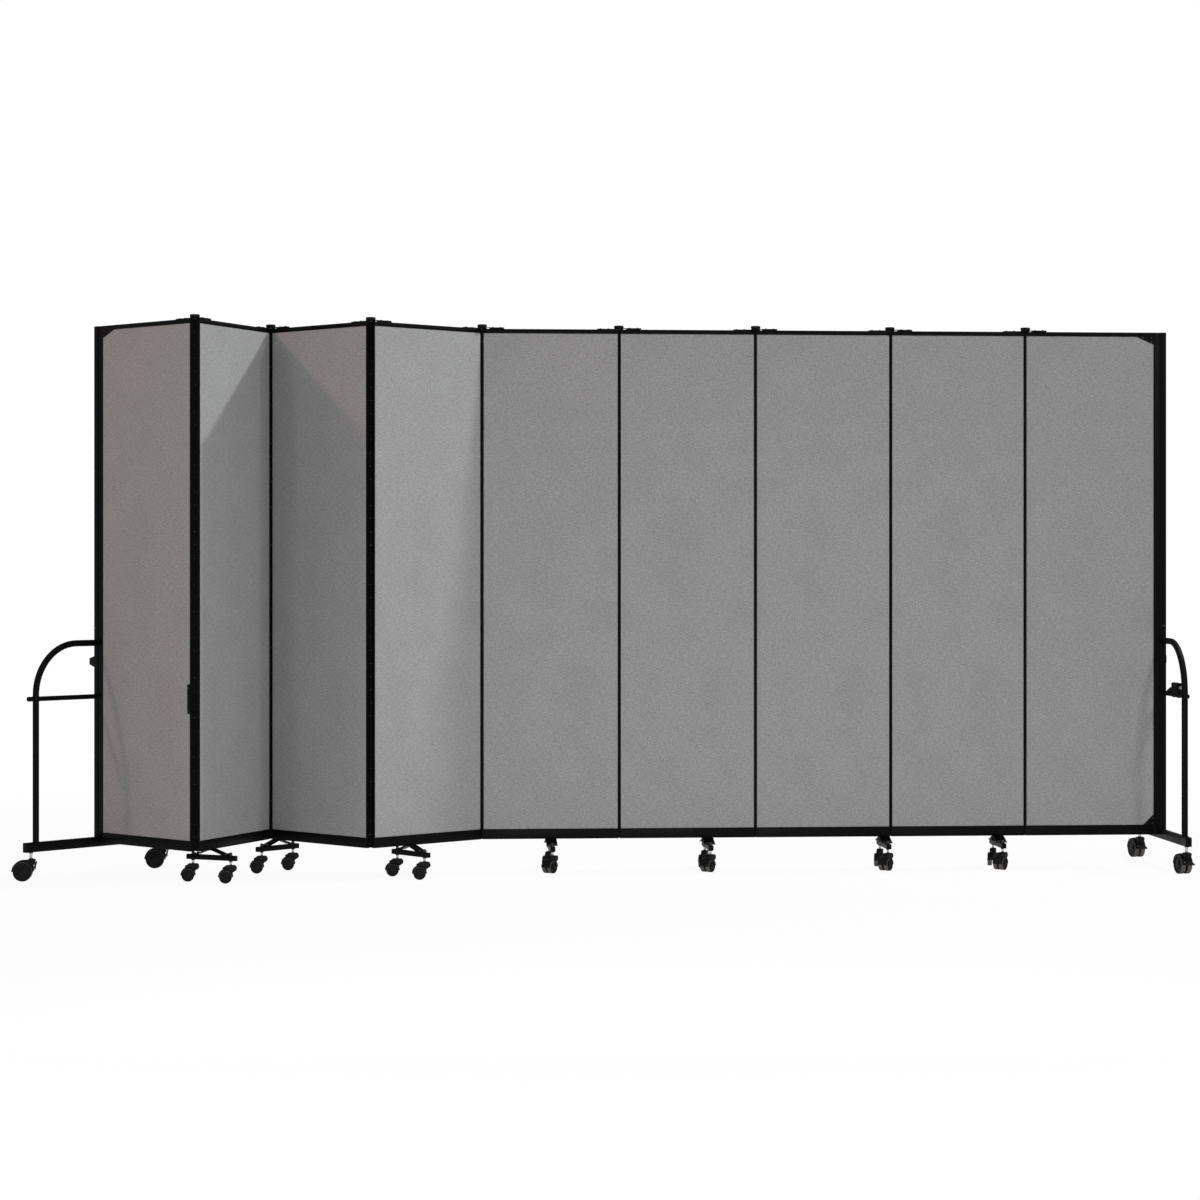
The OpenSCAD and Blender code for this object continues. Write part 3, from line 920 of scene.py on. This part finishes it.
def end_frame(k, side):
    wide = (-tube_half, tube_half)
    parts = [
        plugged_tube(wide, wide, (base_high - 0.001, rail_top), "z"),
        plugged_tube(wide, (-base_reach, base_reach), (base_low, base_high), "y"),
        rod((0, -crossbar_reach, crossbar_height), (0, crossbar_reach, crossbar_height),
            crossbar_radius, powder_black, 0.003, 24, 4),
        bumper(-1, 0.035, 0.003) if k == 1 else bumper(1, 0.002, 0.0009),
        another(arch), another(arch, half_turn), fasten(screw, (0, -tube_half, 0.992), "front"),
    ]
    for turn in (Matrix.Identity(4), half_turn):
        parts += [moved(weld(leg_out, base_high, arch_radius + 0.0004, (0, 0, 0)), turn),
                  moved(weld(tube_half, arch_top, arch_radius + 0.0002), turn)]
        parts += [moved(weld(y, crossbar_height, crossbar_radius + 0.0002), turn)
                  for y in (tube_half, leg_out - arch_radius, leg_out + arch_radius)]
    if k == panels:
        parts += latch()
    piece = moved(assembled(*parts), stand[k] @ at(post_along(k)))
    return fit(piece, f"end_frame_piece_{side}", f"panel_{k}", "frame", f"end_frame_{side}")


for k, side in ((1, "left"), (panels, "right")):
    made = end_frame(k, side)
print("an end frame has", len(made.data.polygons), "faces")

# %% [markdown]
# ## Twin-wheel casters
# A twin-wheel caster has a hood that covers two wheels on one axle, with a web between them and
# the stem's boss in front. The wheel is turned like a real one: a disc whose rims are rounded,
# with a dished face, a raised hub and a groove round the tread. The hood's section is a thin
# rounded strip that is swept over the wheels for half a turn. A crown lies on it, a thick plate
# that ends in a nose in front of the stem, and gives the caster its humped outline.

# %% Twin-wheel casters
web = 0.007
wheel_gap = 0.0005


def wheel(radius, width):
    """A wheel whose axle is along y and whose inner face lies at y = 0."""
    disc = rod((0, 0, 0), (0, width, 0), radius, hood_plastic, 0.0022, 40, 3)
    disc.data.materials.append(tread_rubber)
    work_on(disc, "FACE", lambda f: abs(f.normal.y) < 0.75)
    disc.active_material_index = 1
    bpy.ops.object.material_slot_assign()
    for part in (0.42, 0.58):
        bpy.ops.mesh.select_all(action="SELECT")
        bpy.ops.mesh.bisect(plane_co=(0, width * part, 0), plane_no=(0, 1, 0))
    work_on(disc, "FACE",
            lambda f: abs(f.normal.y) < 0.2 and abs(middle_of(f).y / width - 0.5) < 0.06)
    bpy.ops.mesh.inset(thickness=0.0002, depth=-0.0007)
    rim = radius * 0.20
    work_on(disc, "FACE", lambda f: f.normal.y > 0.9 and middle_of(f).y > width - 1e-4)
    bpy.ops.mesh.inset(thickness=rim - 0.0022, depth=0)
    bpy.ops.mesh.inset(thickness=0.0010, depth=-0.0030)
    bpy.ops.mesh.inset(thickness=radius * 0.30, depth=0.0004)
    bpy.ops.mesh.inset(thickness=0.0010, depth=0.0026)
    bpy.ops.mesh.inset(thickness=0.0016, depth=0.0004)
    return hold(disc)


def wheel_set(radius, width, trail):
    """Both wheels, with the stem at the origin and the trail along x."""
    one = wheel(radius, width)
    inner = web / 2 + wheel_gap
    pair = [another(one, at(trail, side * inner, radius) @ Matrix.Diagonal((1, side, 1, 1)))
            for side in (-1, 1)]
    put_away(one)
    return assembled(*pair)


def crown(radius, trail, width, top):
    """The hood's crown: its underside follows the shell, and top is the rest of its outline."""
    reach = radius + 0.0029
    turns = [math.radians(a) for a in range(24, -61, -12)]
    under = [(trail + reach * math.sin(a), radius + reach * math.cos(a)) for a in turns]
    return plate(under + top, width, hood_plastic, 0.0018, 3)


def hood(radius, width, trail, thick, boss_radius, boss_top, stem_radius, stem_top, flange):
    """Hood, web, boss, stem and axle of a caster."""
    half = web / 2 + wheel_gap + width
    clear_bench()
    inner = radius + 0.0013
    bpy.ops.mesh.primitive_plane_add(size=1, location=(trail - inner - thick / 2, 0, radius))
    bpy.context.object.scale = (thick, 2 * half, 1)
    shell = settled()
    work_on(shell, "EDGE")
    bpy.ops.mesh.bevel(offset=thick * 0.45, segments=4, affect="VERTICES")
    bpy.ops.mesh.select_all(action="SELECT")
    bpy.ops.mesh.spin(steps=28, angle=spin_way * math.pi, axis=(0, 1, 0), center=(trail, 0, radius))
    faces_out()
    painted(hold(shell), hood_plastic)
    disc = rod((trail, -web / 2, radius), (trail, web / 2, radius), inner + 0.001,
               hood_plastic, 0.0002, 48, 1)
    work_on(disc, "FACE")
    bpy.ops.mesh.bisect(plane_co=(0, 0, radius - 0.002), plane_no=(0, 0, 1),
                        use_fill=True, clear_inner=True)
    boss = rod((0, 0, radius + 0.008), (0, 0, boss_top), boss_radius, hood_plastic, 0.0022, 32, 3)
    stem = rod((0, 0, boss_top - 0.001), (0, 0, stem_top), stem_radius, zinc, 0.0006, 20)
    collar = rod((0, 0, flange - 0.004), (0, 0, flange - 0.0003), stem_radius + 0.003,
                 zinc_black, 0.0008, 6)
    axle = rod((trail, -half - 0.0012, radius), (trail, half + 0.0012, radius), 0.003,
               zinc, 0.0004, 16)
    ends = [rod((trail, side * (half + 0.0002), radius), (trail, side * (half + 0.0016), radius),
                0.0055, hood_plastic, 0.0005, 20) for side in (-1, 1)]
    return [shell, hold(disc), boss, stem, collar, axle, *ends]


small = {"radius": 0.025, "width": 0.0175, "trail": 0.020}
large = {"radius": 0.038, "width": 0.0195, "trail": 0.032}
small_wheels = wheel_set(**small)
large_wheels = wheel_set(**large)
nut = rod((0, 0, bar_high + 0.0003), (0, 0, bar_high + 0.0065), 0.0080, zinc_black, 0.0006, 6)
stub = rod((0, 0, bar_high), (0, 0, bar_high + 0.0125), 0.0058, zinc_black, 0.0018, 20, 3)
small_crown = crown(small["radius"], small["trail"], 0.026, [
    (-0.022, 0.051), (-0.0245, 0.058), (-0.021, 0.067), (-0.016, 0.070),
    (0.017, 0.070), (0.024, 0.064), (0.0325, 0.060)])
large_crown = crown(large["radius"], large["trail"], 0.030, [
    (-0.0098, 0.060), (-0.0133, 0.067), (-0.0156, 0.076), (-0.019, 0.0815), (-0.016, 0.0855),
    (-0.005, 0.0885), (0.006, 0.0885), (0.013, 0.083), (0.034, 0.0825), (0.047, 0.0795)])
small_hood = assembled(*hood(**small, thick=0.003, boss_radius=0.008, boss_top=0.0715,
                             stem_radius=0.005, stem_top=0.112, flange=bar_low),
                       small_crown, nut, stub)
large_parts = [*hood(**large, thick=0.0035, boss_radius=0.010, boss_top=0.089,
                     stem_radius=0.006, stem_top=0.140, flange=base_low), large_crown]
print("small caster", reach_of(small_hood), "mm, open edges",
      open_edges(small_hood), open_edges(small_wheels))

# %% [markdown]
# ## Brake pedals
# The casters of the end frames have a foot pedal that locks them. It is a stamped lever on a
# pin between two ears of the hood: a round sleeve, a sloping arm and a wider tread plate with
# a lip, which gets three ribs so that a shoe doesn't slip. On the left end frame the pedals
# are flipped up beside the stems, and on the right one the brakes are on.

# %% Brake pedals
pin_x, pin_z = -0.0145, 0.050
pedal_lift = (at(pin_x, 0, pin_z) @ Matrix.Rotation(math.radians(92), 4, "Y")
              @ at(-pin_x, 0, -pin_z))


def ears():
    """The two ears of the hood and the pin between them."""
    outline = [(-0.019, 0.0505), (-0.0175, 0.0465), (pin_x, 0.0455), (0.008, 0.044),
               (0.008, 0.064), (-0.0155, 0.0544), (-0.0180, 0.0530)]
    parts = [moved(plate(outline, 0.003, hood_plastic, 0.0005, 2), at(y=side * 0.0135))
             for side in (-1, 1)]
    return parts + [rod((pin_x, -0.016, pin_z), (pin_x, 0.016, pin_z), 0.002, zinc, 0.0004, 16)]


def pedal():
    sleeve = rod((pin_x, -0.011, pin_z), (pin_x, 0.011, pin_z), 0.004, hood_plastic, 0.0005, 24)
    arm = plate([(pin_x, 0.054), (-0.036, 0.047), (-0.036, 0.043), (pin_x, 0.046)], 0.022,
                hood_plastic, 0.0008, 2)
    tread = plate([(-0.024, 0.051), (-0.040, 0.046), (-0.043, 0.041), (-0.040, 0.040), (-0.024, 0.0445)],
                  0.032, hood_plastic, 0.0010, 3)
    ribs = [block((x - 0.0007, x + 0.0007), (-0.013, 0.013), (z - 0.002, z + 0.0006),
                  hood_plastic, 0.0004)
            for x, z in ((-0.028, 0.0499), (-0.032, 0.0486), (-0.036, 0.0473))]
    return assembled(sleeve, arm, tread, *ribs)


large_hood = assembled(*large_parts, *ears())
foot_pedal = pedal()
print("large caster", reach_of(large_hood), "mm, pedal", reach_of(foot_pedal), "mm")

# %% [markdown]
# ## Casters in their places
# Casters trail behind the way the screen was last moved. The folded panels were pulled to the
# right, the straight ones were pushed back into line, and the right end was drawn forward.

# %% Casters in their places
small_out, large_out = 0.085, 0.336
small_kit = [(small_hood, "caster", "caster"), (small_wheels, "wheels", "wheel")]
large_kit = [(large_hood, "end_caster", "caster"), (large_wheels, "end_wheels", "wheel"),
             (foot_pedal, "brake", "caster")]


def trail_way(k, side):
    """The direction that a caster trails in, in degrees from x."""
    if k < middle:
        return 180
    if k == panels:
        return 100
    return 230 if side == "front" else 255


def set_caster(k, side, kit, along, out, end):
    """Fits the pieces of one caster under panel k, at its front or back."""
    turn = Matrix.Rotation(math.radians(trail_way(k, side) - heading[k]), 4, "Z")
    place = stand[k] @ at(along, out if side == "back" else -out) @ turn
    for pattern, part, slot in kit:
        name = f"{part}_{end}_{side}"
        lift = pedal_lift if part == "brake" and k == 1 else Matrix.Identity(4)
        fit(another(pattern, place @ lift), f"{part}_piece_{end}_{side}", name, slot, name)


for side in ("front", "back"):
    for k in range(2, panels):
        set_caster(k, side, small_kit, outrigger_place(k), small_out, k)
    for k, end in ((1, "left"), (panels, "right")):
        set_caster(k, side, large_kit, post_along(k), large_out, end)

put_away(screw, rivet, bolt, *strips, pin, lower_hinge, upper_hinge, cross_bar, arch,
         small_wheels, large_wheels, small_hood, large_hood, foot_pedal)

# %% [markdown]
# ## Floor, backdrop and light
# The shadows in the photograph give the lamps away. The folds of panels 2 and 3 have a slanting
# shadow edge each, so two high lamps stand far out to the sides, a warm one on the left and a
# cool one on the right. The steep edges near the crease and the shadow of the right arch come
# from two key lamps in front, and a low strip fills the faces. A soft box that the screen hides
# lights its back. The floor is a large pale sheet. To the camera the far floor and the
# surroundings are plain white.

# %% Floor, backdrop and light
clear_bench()
bpy.ops.mesh.primitive_plane_add(size=60, location=(0, 0, 0))
floor = bpy.context.object
floor.name = "floor"
floor_paint = bpy.data.materials.new("pale floor")
floor_paint.use_nodes = True
tree = Wire(floor_paint.node_tree)
floor_nodes = floor_paint.node_tree.nodes
matt = floor_nodes["Principled BSDF"]
for socket, value in (("Base Color", grey(0.80)), ("Roughness", 0.9), ("Specular IOR Level", 0.1)):
    matt.inputs[socket].default_value = value
seen = tree.node("LightPath")
mirrored = seen.output("Is Glossy Ray")
white = tree.node("Emission", None, {"Color": grey(1.0), "Strength": 1.0})
share = tree.math("MAXIMUM", seen, mirrored)
place = tree.node("TexCoord", out=3)
away = tree.node("VectorMath", {"operation": "LENGTH"}, {0: place}, out=1)
clean = clipped(away, 2.6, 5.5, 0.94, 1.0, "SMOOTHSTEP")
paint = tree.node("MixShader", None, {0: share * clean, 1: Wire(tree.tree, matt.outputs[0]), 2: white})
floor_paint.node_tree.links.new(paint.socket, floor_nodes["Material Output"].inputs["Surface"])
floor.data.materials.append(floor_paint)

room = bpy.data.worlds.new("room")
bpy.context.scene.world = room
room.use_nodes = True
tree = Wire(room.node_tree)
seen = tree.node("LightPath")
mirrored = seen.output("Is Glossy Ray")
through = seen.output("Is Transmission Ray")
seen = tree.math("MAXIMUM", tree.math("MAXIMUM", seen, mirrored * 0.2), through)
background = room.node_tree.nodes["Background"]
background.inputs["Color"].default_value = grey(1.0)
fill_light = 0.27
room.node_tree.links.new((fill_light + (1 - fill_light) * seen).socket, background.inputs["Strength"])


def soft_box(name, place, aim, size, power, colour=(1.0, 1.0, 1.0)):
    """A lamp with a diffuser, aimed at a point."""
    data = bpy.data.lights.new(name, "AREA")
    data.shape, data.size, data.size_y, data.energy = "RECTANGLE", *size, power
    data.color = colour
    lamp = bpy.data.objects.new(name, data)
    lamp.location = place
    lamp.rotation_euler = (Vector(aim) - Vector(place)).to_track_quat("-Z", "Y").to_euler()
    bpy.context.scene.collection.objects.link(lamp)


soft_box("front strip", (-0.3, -4.5, 0.55), (0.0, 0, 0.7), (2.6, 0.9), 62)
soft_box("right key", (3.5, -3.9, 3.8), (0.5, 0, 1.2), (0.4, 0.4), 52)
soft_box("left key", (-4.8, -3.8, 3.8), (-0.5, 0, 1.2), (0.4, 0.4), 18)
soft_box("cool side lamp", (4.54, 0.30, 6.49), (-1.0, -0.1, 1.4), (0.35, 0.35), 325,
         (0.93, 0.97, 1.0))
soft_box("warm side lamp", (-6.4, -1.0, 5.56), (-1.6, -0.2, 1.4), (0.35, 0.35), 92,
         (1.0, 0.63, 0.62))
soft_box("back fill", (0.3, 4.6, 1.3), (0.0, 0, 1.1), (2.0, 1.6), 40)
bpy.context.scene.view_settings.view_transform = "Standard"
